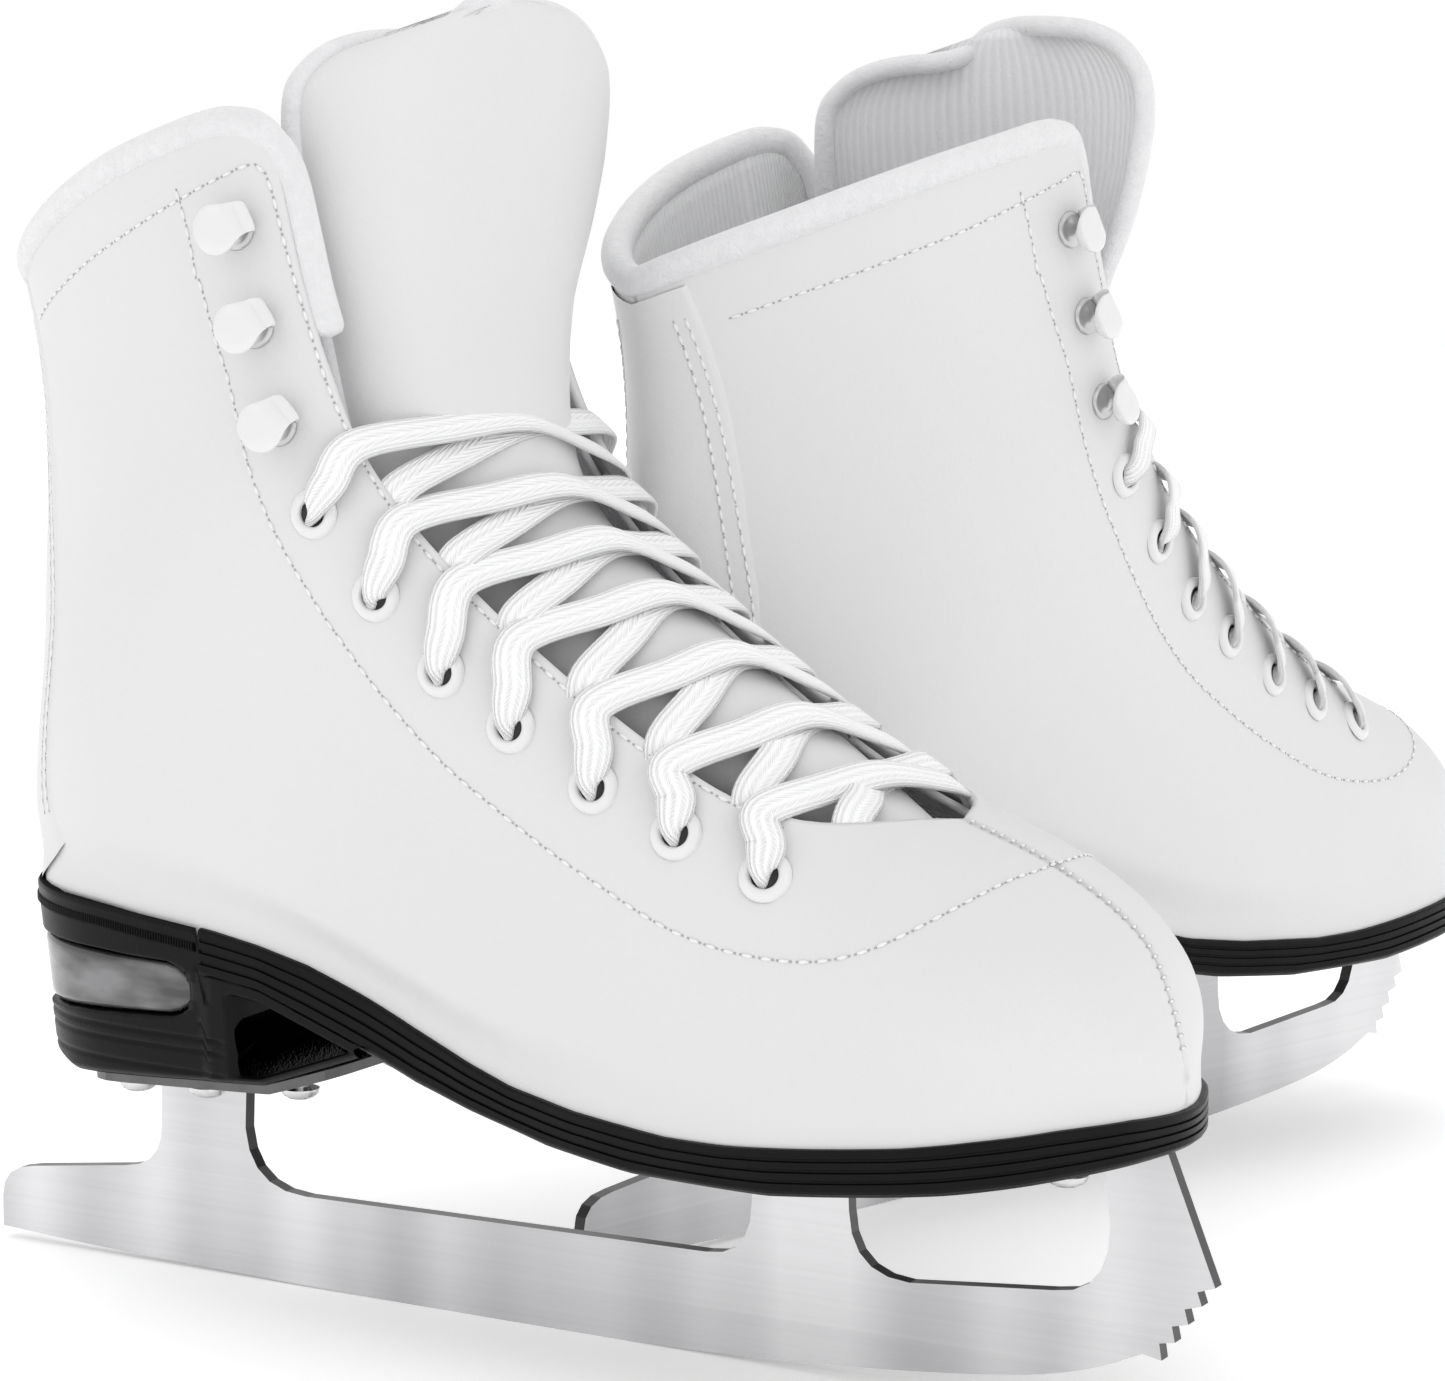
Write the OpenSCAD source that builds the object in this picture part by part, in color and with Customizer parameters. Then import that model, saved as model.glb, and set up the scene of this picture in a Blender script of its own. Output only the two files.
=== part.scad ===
/* [Pair] */
// How far the left skate's toe is turned out from the right skate's
toe_out = 73; // [60:1:90]
// Place of the left skate beside the right one, along the right blade
left_x = 16; // [0:1:40]
// Place of the left skate beside the right one, across the right blade
left_y = 177; // [175:0.5:200]

/* [Blade] */
// Thickness of the blade
blade_w = 3; // [2.5:0.1:4]
// Height of the runner's top edge
runner_h = 20; // [19:0.5:21]
// Thickness of the mounting plates
plate_t = 2; // [1.5:0.1:2]
// Radius of a mounting screw's shank
screw_r = 1.7; // [1.5:0.1:2]
// Radius of a mounting screw's domed head
screw_head_r = 3.8; // [3:0.1:4]

/* [Sole] */
// Thickness of the outsole under the waist
sole_t = 6; // [5:0.5:7]
// Length of the clear heel window along the heel's side
window_l = 53.5; // [40:0.5:54]
// Height of the clear heel window
window_h = 13; // [10:0.5:14]

/* [Upper] */
// Thickness of the outer leather
leather_t = 2; // [1.4:0.1:2]
// Radius of the fleece roll along the collar
binding_r = 3.2; // [3:0.1:3.4]
// Outer radius of an eyelet's flange
eyelet_r = 4.8; // [4:0.1:5]
// Radius of an eyelet's hole
eyelet_hole_r = 2.4; // [2:0.1:2.6]
// Width of the flat lace
lace_w = 7.6; // [6:0.1:9]
// Thickness of the flat lace
lace_t = 1.2; // [0.8:0.1:1.5]

/* [Tongue] */
// Thickness of the tongue's outer leather
tongue_t = 2; // [1.5:0.1:2.5]
// Thickness of the tongue's fleece lining
fleece_t = 4; // [3:0.5:5]

/* [Hidden] */

// Boot sections from the toe tip (0) to the collar (12). Each is a closed loop leaning from its front
// point to its back point: front x, z, back x, z, half width, place of the widest point, roundness of
// the front and of the back, and how much the loop narrows towards its back.
SECTIONS = [
    [119, 66, 119.5, 62.5, 1.5, 0.5, 1.8, 2.4, 0],
    [117, 76, 113, 59, 18.5, 0.55, 1.9, 3, 0],
    [110.5, 89, 104, 57.5, 31, 0.65, 2, 4.4, 0],
    [93.5, 100.5, 87, 55, 40, 0.65, 2.3, 5.8, -0.05],
    [62, 113.5, 53, 51.5, 42.5, 0.6, 2.7, 5.7, -0.05],
    [29.5, 135.5, 11, 51.5, 42.5, 0.5, 3, 5.2, 0],
    [2, 156, -35, 61.5, 44.5, 0.4, 3.1, 4.8, 0.2],
    [-15, 174, -92, 73.5, 47, 0.33, 3.3, 4.3, 0.35],
    [-23.5, 190.5, -130, 83.5, 47.5, 0.3, 3.4, 2.5, 0.4],
    [-29.5, 207, -132.5, 131, 47, 0.3, 3.4, 1.9, 0.45],
    [-34, 226, -130, 176, 46, 0.3, 3.3, 2, 0.4],
    [-36, 245, -136.5, 208, 45.5, 0.3, 3.2, 1.9, 0.3],
    [-37.5, 263.5, -146, 231, 45.5, 0.3, 3.2, 2.1, 0.3]
];
// Top edge of the leather: angle round the leg from the front, and section
COLLAR = [[55, 9.9], [59, 10.05], [62, 10.2], [66, 10.33], [72, 10.5], [80, 10.6], [90, 10.67],
          [105, 10.73], [120, 10.76], [135, 10.75], [150, 10.73], [165, 10.7], [180, 10.65]];
// Eyelets from the toe up, and hooks above them: section and angle
EYELETS = [[4.12, 60.5], [4.6, 67], [5.07, 72.5], [5.58, 75.5], [6.05, 78], [6.6, 76.5], [7.35, 76]];
HOOKS = [[8.2, 75], [9.05, 77], [9.85, 80]];
// Underside of the sole from the breast of the heel to the toe
SOLE_LINE = [[-36, 56.5], [-10, 49.5], [10, 46], [30, 44.5], [60, 45], [92, 49], [112, 52.5], [130, 57]];
// Half width of the sole along its length
SOLE_PLAN = [[-131, 0], [-129, 10], [-122, 20], [-110, 27], [-92, 30], [-60, 31], [-30, 31.5],
             [0, 36.5], [30, 43], [62, 46.5], [88, 44], [103, 36], [114, 22], [119, 11], [121, 0]];
// Running edge of the blade behind and in front of the flat that stands on the ice
EDGE_REAR = [[-149, 2.4], [-124, 1.3], [-88, 0.5], [-46, 0]];
EDGE_FRONT = [[6, 0], [28, 0.7], [57, 2.5], [79, 4.7], [93, 6.8], [104, 9.8], [112.5, 13.5]];
// Middle of the tongue from the throat to its top: x, z, half width, how deep it curves, and its turn
TONGUE = [[71, 103, 9, 3, 0], [53, 114.5, 18, 7, 0], [39, 123.5, 24, 10, 0], [20, 136.5, 28, 12, 0],
          [-1, 152, 30, 14, 0], [-12.5, 163, 31, 15, 0], [-18.5, 176, 32, 16, 3], [-21, 196, 33, 17, 8],
          [-23, 216, 33.5, 16, 13], [-25, 236, 35.5, 14, 18], [-26, 248, 31.5, 10, 19], [-26.5, 256.5, 22, 5, 20]];
// How far the tongue's top leans to the inner side
tongue_lean = 3;

white = [0.93, 0.93, 0.94];
fleece = [0.84, 0.85, 0.87];
black = [0.06, 0.06, 0.065];
steel = [0.78, 0.79, 0.8];
EPS = 0.01;

// Smooth curve through the points of a list, at place s counted in points
function clamp(v, lo, hi) = min(max(v, lo), hi);
function through(list, s) =
    let (n = len(list) - 1, c = clamp(s, 0, n), i = min(floor(c), n - 1), t = c - i,
         p0 = list[max(i - 1, 0)], p1 = list[i], p2 = list[i + 1], p3 = list[min(i + 2, n)])
    0.5 * (2 * p1 + (p2 - p0) * t + (2 * p0 - 5 * p1 + 4 * p2 - p3) * t * t
           + (3 * p1 - p0 - 3 * p2 + p3) * t * t * t);
function curve(list, steps) = [for (k = [0 : (len(list) - 1) * steps]) through(list, k / steps)];
// Quarter-round corner between two points, pulled towards a third
function corner(p, c, q, n = 5) =
    [for (k = [0 : n]) let (t = k / n) (1 - t) * (1 - t) * p + 2 * t * (1 - t) * c + t * t * q];
function unit(v) = v / norm(v);

// Point of the boot at section s and angle a from the front, d inside the outer face, on side y < 0
function skin(s, a, d = 0) =
    let (r = through(SECTIONS, s), fore = [r[0], r[1]], aft = [r[2], r[3]], way = unit(aft - fore),
         f = fore + way * d, b = aft - way * d, w = max(r[4] - d, 0.4),
         front = a <= 90, e = 2 / (front ? r[6] : r[7]), c = pow(abs(cos(a)), e),
         t = front ? r[5] * (1 - c) : r[5] + (1 - r[5]) * c,
         y = w * pow(max(sin(a), 0), e) * (1 - r[8] * t * t), p = f + (b - f) * t)
    [p[0] - max(0, 1 - s) * d, -y, p[1]];
// The same point on either side: side is -1 or 1
function skin_at(s, a, d, side) = let (p = skin(s, a, d)) [p[0], -side * p[1], p[2]];
function throat(s) = s <= 3.6 ? 0 : 53 * (1 - exp(-(s - 3.6) / 0.4)) + 3.2 * max(0, s - 8.2);
function collar(a) = lookup(a, COLLAR);
// Section of a point that is u up the boot, so that the topmost row follows the collar
TOP = 10.5;
function lift(u, a) = u + (collar(a) - TOP) * pow(max(0, (u - 8) / (TOP - 8)), 2);

// Closed solid between an outer and an inner grid of points
module shell(outer, inner) {
    n = len(outer);
    m = len(outer[0]);
    o = n * m;
    function two(a, b, c, d) = [[a, b, c], [a, c, d]];
    polyhedron(
        points = concat([for (r = outer) each r], [for (r = inner) each r]),
        faces = concat(
            [for (i = [0 : n - 2], j = [0 : m - 2]) let (k = i * m + j)
                each two(k, k + 1, k + m + 1, k + m)],
            [for (i = [0 : n - 2], j = [0 : m - 2]) let (k = o + i * m + j)
                each two(k, k + m, k + m + 1, k + 1)],
            [for (j = [0 : m - 2]) each two(j, o + j, o + j + 1, j + 1)],
            [for (j = [0 : m - 2]) let (k = (n - 1) * m + j) each two(k, k + 1, o + k + 1, o + k)],
            [for (i = [0 : n - 2]) let (k = i * m) each two(k, k + m, o + k + m, o + k)],
            [for (i = [0 : n - 2]) let (k = i * m + m - 1) each two(k, o + k, o + k + m, k + m)]
        ),
        convexity = 8
    );
}

// Solid swept through a list of closed rings
module sweep(rings) {
    n = len(rings);
    m = len(rings[0]);
    polyhedron(
        points = [for (r = rings) each r],
        faces = concat(
            [[for (j = [m - 1 : -1 : 0]) j]],
            [for (i = [0 : n - 2], j = [0 : m - 1]) let (a = i * m + j, b = i * m + (j + 1) % m)
                each [[a, b, b + m], [a, b + m, a + m]]],
            [[for (j = [0 : m - 1]) (n - 1) * m + j]]
        ),
        convexity = 8
    );
}

// Rows and columns shared by every layer of the upper, so that the layers nest
HEIGHTS = [0, 0.4, 0.8, 1.3, 1.9, 2.5, 3.1, 3.6, 3.8, 4.1, 4.5, 5, 5.6, 6.2, 6.8, 7.4, 8, 8.6, 9.2, 9.8,
           10.2, TOP];
COLS = 11;
function mid(a, b, t) = a + (b - a) * t;
function heights(lo, hi) = [for (s = HEIGHTS) if (s >= lo && s <= hi) s];
function columns(c0, c1) = concat(c0 > floor(c0) ? [c0] : [], [for (c = [ceil(c0) : c1]) c]);
// Point of a layer at column c, counted from the throat to the back, and d inside the outer face
function ply(s, c, d) =
    let (k = min(floor(c), COLS - 1), low = throat(s), step = (180 - low) / COLS,
         a0 = low + step * k, a1 = low + step * (k + 1))
    mid(skin(lift(s, a0), a0, d), skin(lift(s, a1), a1, d), c - k);

// One layer of one side of the boot
module side_layer(rows, c0, c1, d_out, d_in) {
    cols = columns(c0, c1);
    shell([for (s = rows) [for (c = cols) ply(s, c, d_out)]],
          [for (s = rows) [for (c = cols) ply(s, c, d_in)]]);
}

// One layer from column c0 of one side, round the back, to the same column of the other side
module round_layer(rows, c0, d_out, d_in) {
    half = columns(c0, COLS);
    n = len(half);
    function grid(d) = [for (s = rows) concat([for (c = half) ply(s, c, d)],
        [for (k = [n - 2 : -1 : 0]) let (p = ply(s, half[k], d)) [p[0], -p[1], p[2]]])];
    shell(grid(d_out), grid(d_in));
}

module left() {
    translate([left_x, left_y, 0]) rotate(toe_out) mirror([0, 1, 0]) children();
}

// ---- Blade ----
module side_profile(points, width) {
    rotate([90, 0, 0]) linear_extrude(width, center = true) polygon(points);
}

module blade() {
    teeth = 5;
    tooth_step = [2.5, 3.65];
    first_tip = [116.2, 12.8];
    first_root = [115.7, 15.9];
    picks = [for (k = [0 : teeth - 1]) each
        k < teeth - 1 ? [first_tip + k * tooth_step, first_root + k * [2.37, 3.45]] : [first_tip + k * tooth_step]];
    outline = concat(
        curve(EDGE_REAR, 3), curve(EDGE_FRONT, 3), picks,
        [[116.5, 51.4], [104.5, 49]],
        corner([106, 36], [106, 23], [95, 22.7]), corner([66, 20], [53.8, 20], [53.4, 32]), [[53, 42.6]],
        [[33, 42.35]], corner([32.8, 31], [32.8, runner_h], [23, runner_h]),
        corner([-70, 18.7], [-84, 18.7], [-85, 31]), [[-84.5, 44]],
        [[-106, 42.6]], corner([-106.4, 30], [-106, 20.5], [-116, 19.5]),
        corner([-140.6, 16.3], [-149, 15.5], [-149, 9], 4)
    );
    color(steel) side_profile(outline, blade_w);
}

// The plates follow the sole, and each has its blade's posts under it
function under_sole(x) = lookup(x, curve(SOLE_LINE, 4));
FRONT_HOLES = [[46, 19], [73, 21], [104, 16]];
HEEL_HOLES = [[-100, 17], [-81, 19], [-60, 17]];
function heel_floor(x) = lookup(x, [[-128, 49.5], [-122, 45.8], [-114, 44.2], [-61, 47.6], [-36, 56.5]]);

module plate(line, plan) {
    intersection() {
        side_profile(concat([for (p = line) p], [for (k = [len(line) - 1 : -1 : 0]) line[k] - [0, plate_t]]), 80);
        linear_extrude(90) polygon(plan);
    }
}

module screws(holes, height, slope = 0) {
    dome_h = 2.4;
    shank_l = 7;
    for (h = holes, side = [-1, 1]) translate([h[0], side * h[1], height(h[0]) - plate_t]) {
        translate([0, 0, EPS]) cylinder(h = shank_l + plate_t, r = screw_r, $fn = 32);
        rotate_extrude($fn = 40) polygon(concat([[0, 0], [screw_head_r, 0]],
            [for (a = [0 : 15 : 75]) [screw_head_r * cos(a), -0.4 - (dome_h - 0.4) * sin(a)]], [[0, -dome_h]]));
    }
}

module holes(list, r) {
    for (h = list, side = [-1, 1]) translate([h[0], side * h[1], 30]) cylinder(h = 60, r = r, $fn = 32);
}

module front_plate() {
    line = [for (x = [24 : 8 : 120]) [x, under_sole(x) - 0.05]];
    plan = concat(corner([24, -14], [24, -27], [44, -30]), corner([84, -29], [113, -26], [118, -7]),
                  corner([118, 7], [113, 26], [84, 29]), corner([44, 30], [24, 27], [24, 14]));
    color(steel) difference() {
        plate(line, plan);
        holes(FRONT_HOLES, screw_r + 0.3);
    }
}

module heel_plate() {
    line = [[-112, heel_floor(-112) - 0.05], [-61, heel_floor(-61) - 0.05], [-48, heel_floor(-61) + 3.9]];
    plan = concat(corner([-112, -10], [-112, -22], [-100, -23]), corner([-62, -26], [-48, -26], [-48, -16]),
                  corner([-48, 16], [-48, 26], [-62, 26]), corner([-100, 23], [-112, 22], [-112, 10]));
    color(steel) difference() {
        plate(line, plan);
        holes(HEEL_HOLES, screw_r + 0.3);
    }
}

module front_screws() {
    color(steel) screws(FRONT_HOLES, function(x) under_sole(x) - 0.6);
}

module heel_screws() {
    color(steel) screws(HEEL_HOLES, function(x) heel_floor(x) - 0.6);
}

// ---- Sole and heel ----
heel_joint_x = -73.5;
joint_z = 69.3;
function sole_outline(inset = 0) =
    let (heel_x = SOLE_PLAN[0][0] + inset,
         pts = [for (p = curve(SOLE_PLAN, 3)) [max(p[0], heel_x), max(p[1] - inset, 0)]],
         open = [for (p = pts) if (p[1] > 0) p])
    concat([for (p = open) [p[0], -p[1]]], [for (k = [len(open) - 1 : -1 : 0]) open[k]]);
// Line that the upper's underside follows, a little below it
function seat(s0, s1) = [for (s = [s0 : 0.125 : s1]) let (r = through(SECTIONS, s)) [r[2], r[3] - 0.7]];

module outsole() {
    top = [for (p = seat(0.125, 7)) if (p[0] > heel_joint_x + 0.2) p];
    bottom = [for (p = curve(SOLE_LINE, 4)) if (p[0] > -35) p];
    edge_x = heel_joint_x + 0.2;
    color(black) difference() {
        intersection() {
            side_profile(concat([[121.5, 60]], top,
                [[edge_x, joint_z], [edge_x, joint_z - sole_t], [-60, 67 - sole_t], [-36, 56.7]], bottom), 120);
            linear_extrude(120) polygon(sole_outline());
        }
        holes(FRONT_HOLES, screw_r + 0.02);
    }
}

window_z = 57.5;
window_front_x = SOLE_PLAN[0][0] + window_l;
module heel_window_space(grow) {
    depth = 5;
    intersection() {
        translate([-140, -50, window_z - grow]) cube([window_front_x + 140 + grow, 100, window_h + 2 * grow]);
        difference() {
            translate([0, 0, 40]) linear_extrude(50) polygon(sole_outline());
            translate([0, 0, 39]) linear_extrude(52) polygon(sole_outline(depth + grow));
        }
    }
}

band_z = 73.4;
band_h = 3.2;
module heel_band_space(grow) {
    intersection() {
        translate([-140, -50, band_z - grow]) cube([65 + grow, 100, band_h + 2 * grow]);
        difference() {
            translate([0, 0, 40]) linear_extrude(50) polygon(sole_outline());
            translate([0, 0, 39]) linear_extrude(52) polygon(sole_outline(1.5 + grow));
        }
    }
}

module heel_block() {
    top = [for (p = seat(6, 8)) if (p[0] < heel_joint_x) p];
    color(black) difference() {
        intersection() {
            side_profile(concat([[heel_joint_x, joint_z]], top, [[-133, 83.4], [-133, 60], [-129, 49.5], [-122, 45.8],
                [-114, 44.2], [-61, 47.6], [-36, 56.5], [-60, 66.8 - sole_t], [heel_joint_x, joint_z - 0.2 - sole_t]]), 120);
            linear_extrude(120) polygon(sole_outline());
        }
        heel_window_space(0.1);
        heel_band_space(0.1);
        holes(HEEL_HOLES, screw_r + 0.02);
    }
}

module heel_window() {
    color([0.55, 0.56, 0.58, 0.6]) heel_window_space(0);
}

module heel_band() {
    color(black) heel_band_space(0);
}

// ---- Upper ----
module outer_quarter() {
    color(white) side_layer(HEIGHTS, 0, COLS, 0, leather_t);
}

module inner_quarter() {
    color(white) mirror([0, 1, 0]) side_layer(HEIGHTS, 0, COLS, 0, leather_t);
}

// Stiffeners lie between the leather and the lining
stiff_out = leather_t + 0.15;
stiff_in = leather_t + 0.85;
lining_out = leather_t + 1.05;
lining_in = leather_t + 3;
fibre = [0.75, 0.66, 0.5];

module heel_counter() {
    color(fibre) round_layer(heights(6.8, 9.2), 5, stiff_out, stiff_in);
}

module toe_puff() {
    color(fibre) for (side = [0, 1]) mirror([0, side, 0]) side_layer(heights(0.8, 2.5), 0.3, 8, stiff_out, stiff_in);
}

module eyelet_facings() {
    color(white) for (side = [0, 1]) mirror([0, side, 0]) side_layer(heights(3.8, 9.8), 0, 3, stiff_out, stiff_in);
}

module backstay() {
    color(white) round_layer(heights(8, 10.2), 8, -0.9, -0.1);
}

module lining() {
    color(fleece) round_layer(heights(0.8, TOP), 0.3, lining_out, lining_in);
}

// Board, shank and footbed lie on the lining, one on the other
FLOOR = heights(1.3, 7.4);
module insole_board() {
    color(fibre) round_layer(FLOOR, 10, lining_in + 0.1, lining_in + 1.4);
}

module shank() {
    color(steel) round_layer(heights(4.5, 6.8), 10.8, lining_in + 1.5, lining_in + 2.4);
}

module footbed() {
    color([0.8, 0.8, 0.8]) round_layer(FLOOR, 10, lining_in + 2.5, lining_in + 6);
}

// Fleece roll from one facing, round the collar, to the other: section and angle along one side
BINDING = [[8.6, 50], [9.1, 51.5], [9.6, 53], [10, 55], [10.25, 58], [10.43, 62.5], [10.6, 68], [10.7, 75],
           [10.79, 84], [10.86, 95], [10.91, 108], [10.92, 122], [10.9, 136], [10.87, 150], [10.82, 165],
           [10.77, 180]];
module collar_binding() {
    half = [for (p = BINDING) skin(p[0], p[1], 2.4)];
    n = len(half);
    route = concat(half, [for (k = [n - 2 : -1 : 0]) [half[k][0], -half[k][1], half[k][2]]]);
    last = len(route) - 1;
    centre = [-80, 0, 200];
    color(fleece) sweep([for (k = [0 : last])
        let (way = unit(route[min(k + 1, last)] - route[max(k - 1, 0)]),
             out = unit(cross(way, cross(route[k] - centre, way))), across = cross(way, out))
        [for (a = [0 : 60 : 300]) route[k] + binding_r * (out * cos(a) + across * sin(a))]]);
}

// ---- Tongue ----
// Point of the tongue at place s of TONGUE and angle a across it, d behind its front face
function tongue_at(s, a, d) =
    let (r = through(TONGUE, s), ahead = through(TONGUE, s + 0.2) - through(TONGUE, s - 0.2),
         way = unit([ahead[0], ahead[1]]), x = -r[3] * (1 - cos(a)) - d, y = (r[2] - d * 0.4) * sin(a),
         depth = x * cos(r[4]) + y * sin(r[4]))
    [r[0] + way[1] * depth, y * cos(r[4]) - x * sin(r[4]) + tongue_lean * clamp((s - 7.2) / 1.3, 0, 1),
     r[1] - way[0] * depth];
module tongue_layer(s0, s1, d_out, d_in, steps) {
    function grid(d) = [for (k = [0 : steps]) let (s = s0 + (s1 - s0) * k / steps)
        [for (a = [-90 : 15 : 90]) tongue_at(s, a, d)]];
    shell(grid(d_out), grid(d_in));
}

base_end = 6.42;
tongue_start = 6.58;
module tongue_base() {
    color(white) tongue_layer(0.3, base_end, 0, tongue_t + fleece_t, 15);
}

module tongue() {
    color(white) tongue_layer(tongue_start, 11, 0, tongue_t, 11);
}

module tongue_lining() {
    color(fleece) tongue_layer(tongue_start, 11, tongue_t + 0.1, tongue_t + fleece_t, 11);
}

module tongue_binding() {
    rail_s = [9.9, 10.2, 10.5, 10.7];
    rail = [for (s = rail_s) tongue_at(s, 90, 3)];
    crown = [for (a = [75 : -15 : -75]) tongue_at(11, a, 3)];
    other = [for (k = [len(rail_s) - 1 : -1 : 0]) tongue_at(rail_s[k], -90, 3)];
    raw = concat(rail, crown, other);
    middle = [-30, 0, 215];
    r = 2.5;
    route = [for (p = raw) p + unit([0, p[1] - middle[1], p[2] - middle[2]]) * (r + 0.9)];
    last = len(route) - 1;
    color(fleece) sweep([for (k = [0 : last])
        let (way = unit(route[min(k + 1, last)] - route[max(k - 1, 0)]), out = unit(cross(way, [1, 0, 0.05])),
             across = cross(way, out))
        [for (a = [0 : 60 : 300]) route[k] + r * (out * cos(a) + across * sin(a))]]);
}

// ---- Eyelets, hooks and lace ----
// Outward direction of the boot at section s and angle a, on side y < 0
function outward(s, a) = unit(cross(skin(s + 0.05, a) - skin(s - 0.05, a), skin(s, a + 1) - skin(s, a - 1)));
module on_skin(place) {
    p = skin(place[0], place[1]);
    n = outward(place[0], place[1]);
    lean = acos(n[2]);
    turn = atan2(n[1], n[0]);
    translate(p) rotate([0, lean, turn]) children();
}

module eyelet() {
    barrel_l = 5.6;
    rotate_extrude($fn = 40) polygon([
        [eyelet_hole_r, -barrel_l], [eyelet_hole_r + 0.5, -barrel_l], [eyelet_hole_r + 0.5, 0.1], [eyelet_r, 0.1],
        [eyelet_r, 0.5], [eyelet_r - 0.6, 1.1], [eyelet_hole_r + 0.7, 1.3], [eyelet_hole_r, 0.8]]);
}

module eyelets() {
    color(white) for (side = [0, 1], p = EYELETS) mirror([0, side, 0]) on_skin(p) eyelet();
}

module hook() {
    base_r = 5;
    hood = [15, 9];
    rotate_extrude($fn = 40) polygon([[0, -4], [1.5, -4], [1.5, 0.2], [base_r, 0.2], [base_r, 0.9], [2.6, 1.3],
        [2.2, 4.6], [0, 4.6]]);
    translate([-hood[1] / 2, -4, 4.55]) cube([hood[1], hood[0] - 4, 1.4]);
}

module hooks() {
    color(white) for (side = [0, 1], p = HOOKS) mirror([0, side, 0]) on_skin(p) hook();
}

// A strand leaves eyelet k, passes over the facing's edge and the tongue, and goes under the other facing
function strand(k, under) =
    let (e = EYELETS[k], below = k > 0 ? EYELETS[k - 1] : [e[0] - 0.4, e[1]],
         s_edge = e[0] + 0.12, s_far = mid(e[0], below[0], 0.5), s_mid = mid(s_edge, s_far, 0.5),
         start = skin(e[0], e[1] - 6, -2.2), edge = skin(s_edge, throat(s_edge) + 2, -2.4),
         far = skin_at(s_far, throat(s_far) - 5, 0.5, 1),
         rise = through(SECTIONS, s_mid), peak = [rise[0], 0, rise[1]] - [1, 0, 1] * under)
    [start, edge, mid(edge, peak, 0.5) + [0.7, 0, 0.7], peak, mid(peak, far, 0.5) + [0.7, 0, 0.7], far];
module strap(points, steps) {
    path = curve(points, steps);
    last = len(path) - 1;
    sweep([for (k = [0 : last])
        let (way = unit(path[min(k + 1, last)] - path[max(k - 1, 0)]), core = [path[k][0] - 30, 0, path[k][2] - 40],
             side = unit(cross(way, path[k] - core)), up = unit(cross(side, way)))
        [for (c = [[-1, -1], [1, -1], [1, 1], [-1, 1]])
            path[k] + side * c[0] * lace_w / 2 + up * c[1] * lace_t / 2]]);
}

module lace() {
    color(white) for (k = [0 : len(EYELETS) - 1]) {
        strap(strand(k, 0), 2);
        mirror([0, 1, 0]) strap(strand(k, 1.6), 2);
    }
}

// The lace's two tipped ends are tucked down inside the collar, against the lining
module lace_tips() {
    tip_r = 1.6;
    depth = lining_in + tip_r + 1.2;
    color([0.9, 0.9, 0.92]) for (side = [-1, 1]) {
        low = skin_at(8.3, 100, depth, side);
        way = skin_at(9, 100, depth, side) - low;
        translate(low) rotate([0, acos(unit(way)[2]), atan2(way[1], way[0])])
            cylinder(h = norm(way), r = tip_r, $fn = 24);
    }
}

blade();  // right_blade
front_plate();  // right_front_plate
heel_plate();  // right_heel_plate
front_screws();  // right_front_screws
heel_screws();  // right_heel_screws
outsole();  // right_outsole
heel_block();  // right_heel_block
heel_window();  // right_heel_window
heel_band();  // right_heel_band
insole_board();  // right_insole_board
shank();  // right_shank
outer_quarter();  // right_outer_quarter
inner_quarter();  // right_inner_quarter
heel_counter();  // right_heel_counter
toe_puff();  // right_toe_puff
eyelet_facings();  // right_eyelet_facings
backstay();  // right_backstay
collar_binding();  // right_collar_binding
lining();  // right_lining
footbed();  // right_footbed
tongue_base();  // right_tongue_base
tongue();  // right_tongue
tongue_lining();  // right_tongue_lining
tongue_binding();  // right_tongue_binding
eyelets();  // right_eyelets
hooks();  // right_hooks
lace();  // right_lace
lace_tips();  // right_lace_tips
left() blade();  // left_blade
left() front_plate();  // left_front_plate
left() heel_plate();  // left_heel_plate
left() front_screws();  // left_front_screws
left() heel_screws();  // left_heel_screws
left() outsole();  // left_outsole
left() heel_block();  // left_heel_block
left() heel_window();  // left_heel_window
left() heel_band();  // left_heel_band
left() insole_board();  // left_insole_board
left() shank();  // left_shank
left() outer_quarter();  // left_outer_quarter
left() inner_quarter();  // left_inner_quarter
left() heel_counter();  // left_heel_counter
left() toe_puff();  // left_toe_puff
left() eyelet_facings();  // left_eyelet_facings
left() backstay();  // left_backstay
left() collar_binding();  // left_collar_binding
left() lining();  // left_lining
left() footbed();  // left_footbed
left() tongue_base();  // left_tongue_base
left() tongue();  // left_tongue
left() tongue_lining();  // left_tongue_lining
left() tongue_binding();  // left_tongue_binding
left() eyelets();  // left_eyelets
left() hooks();  // left_hooks
left() lace();  // left_lace
left() lace_tips();  // left_lace_tips
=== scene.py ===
import math

import bmesh
import bpy
from mathutils import Matrix, Vector


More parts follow.
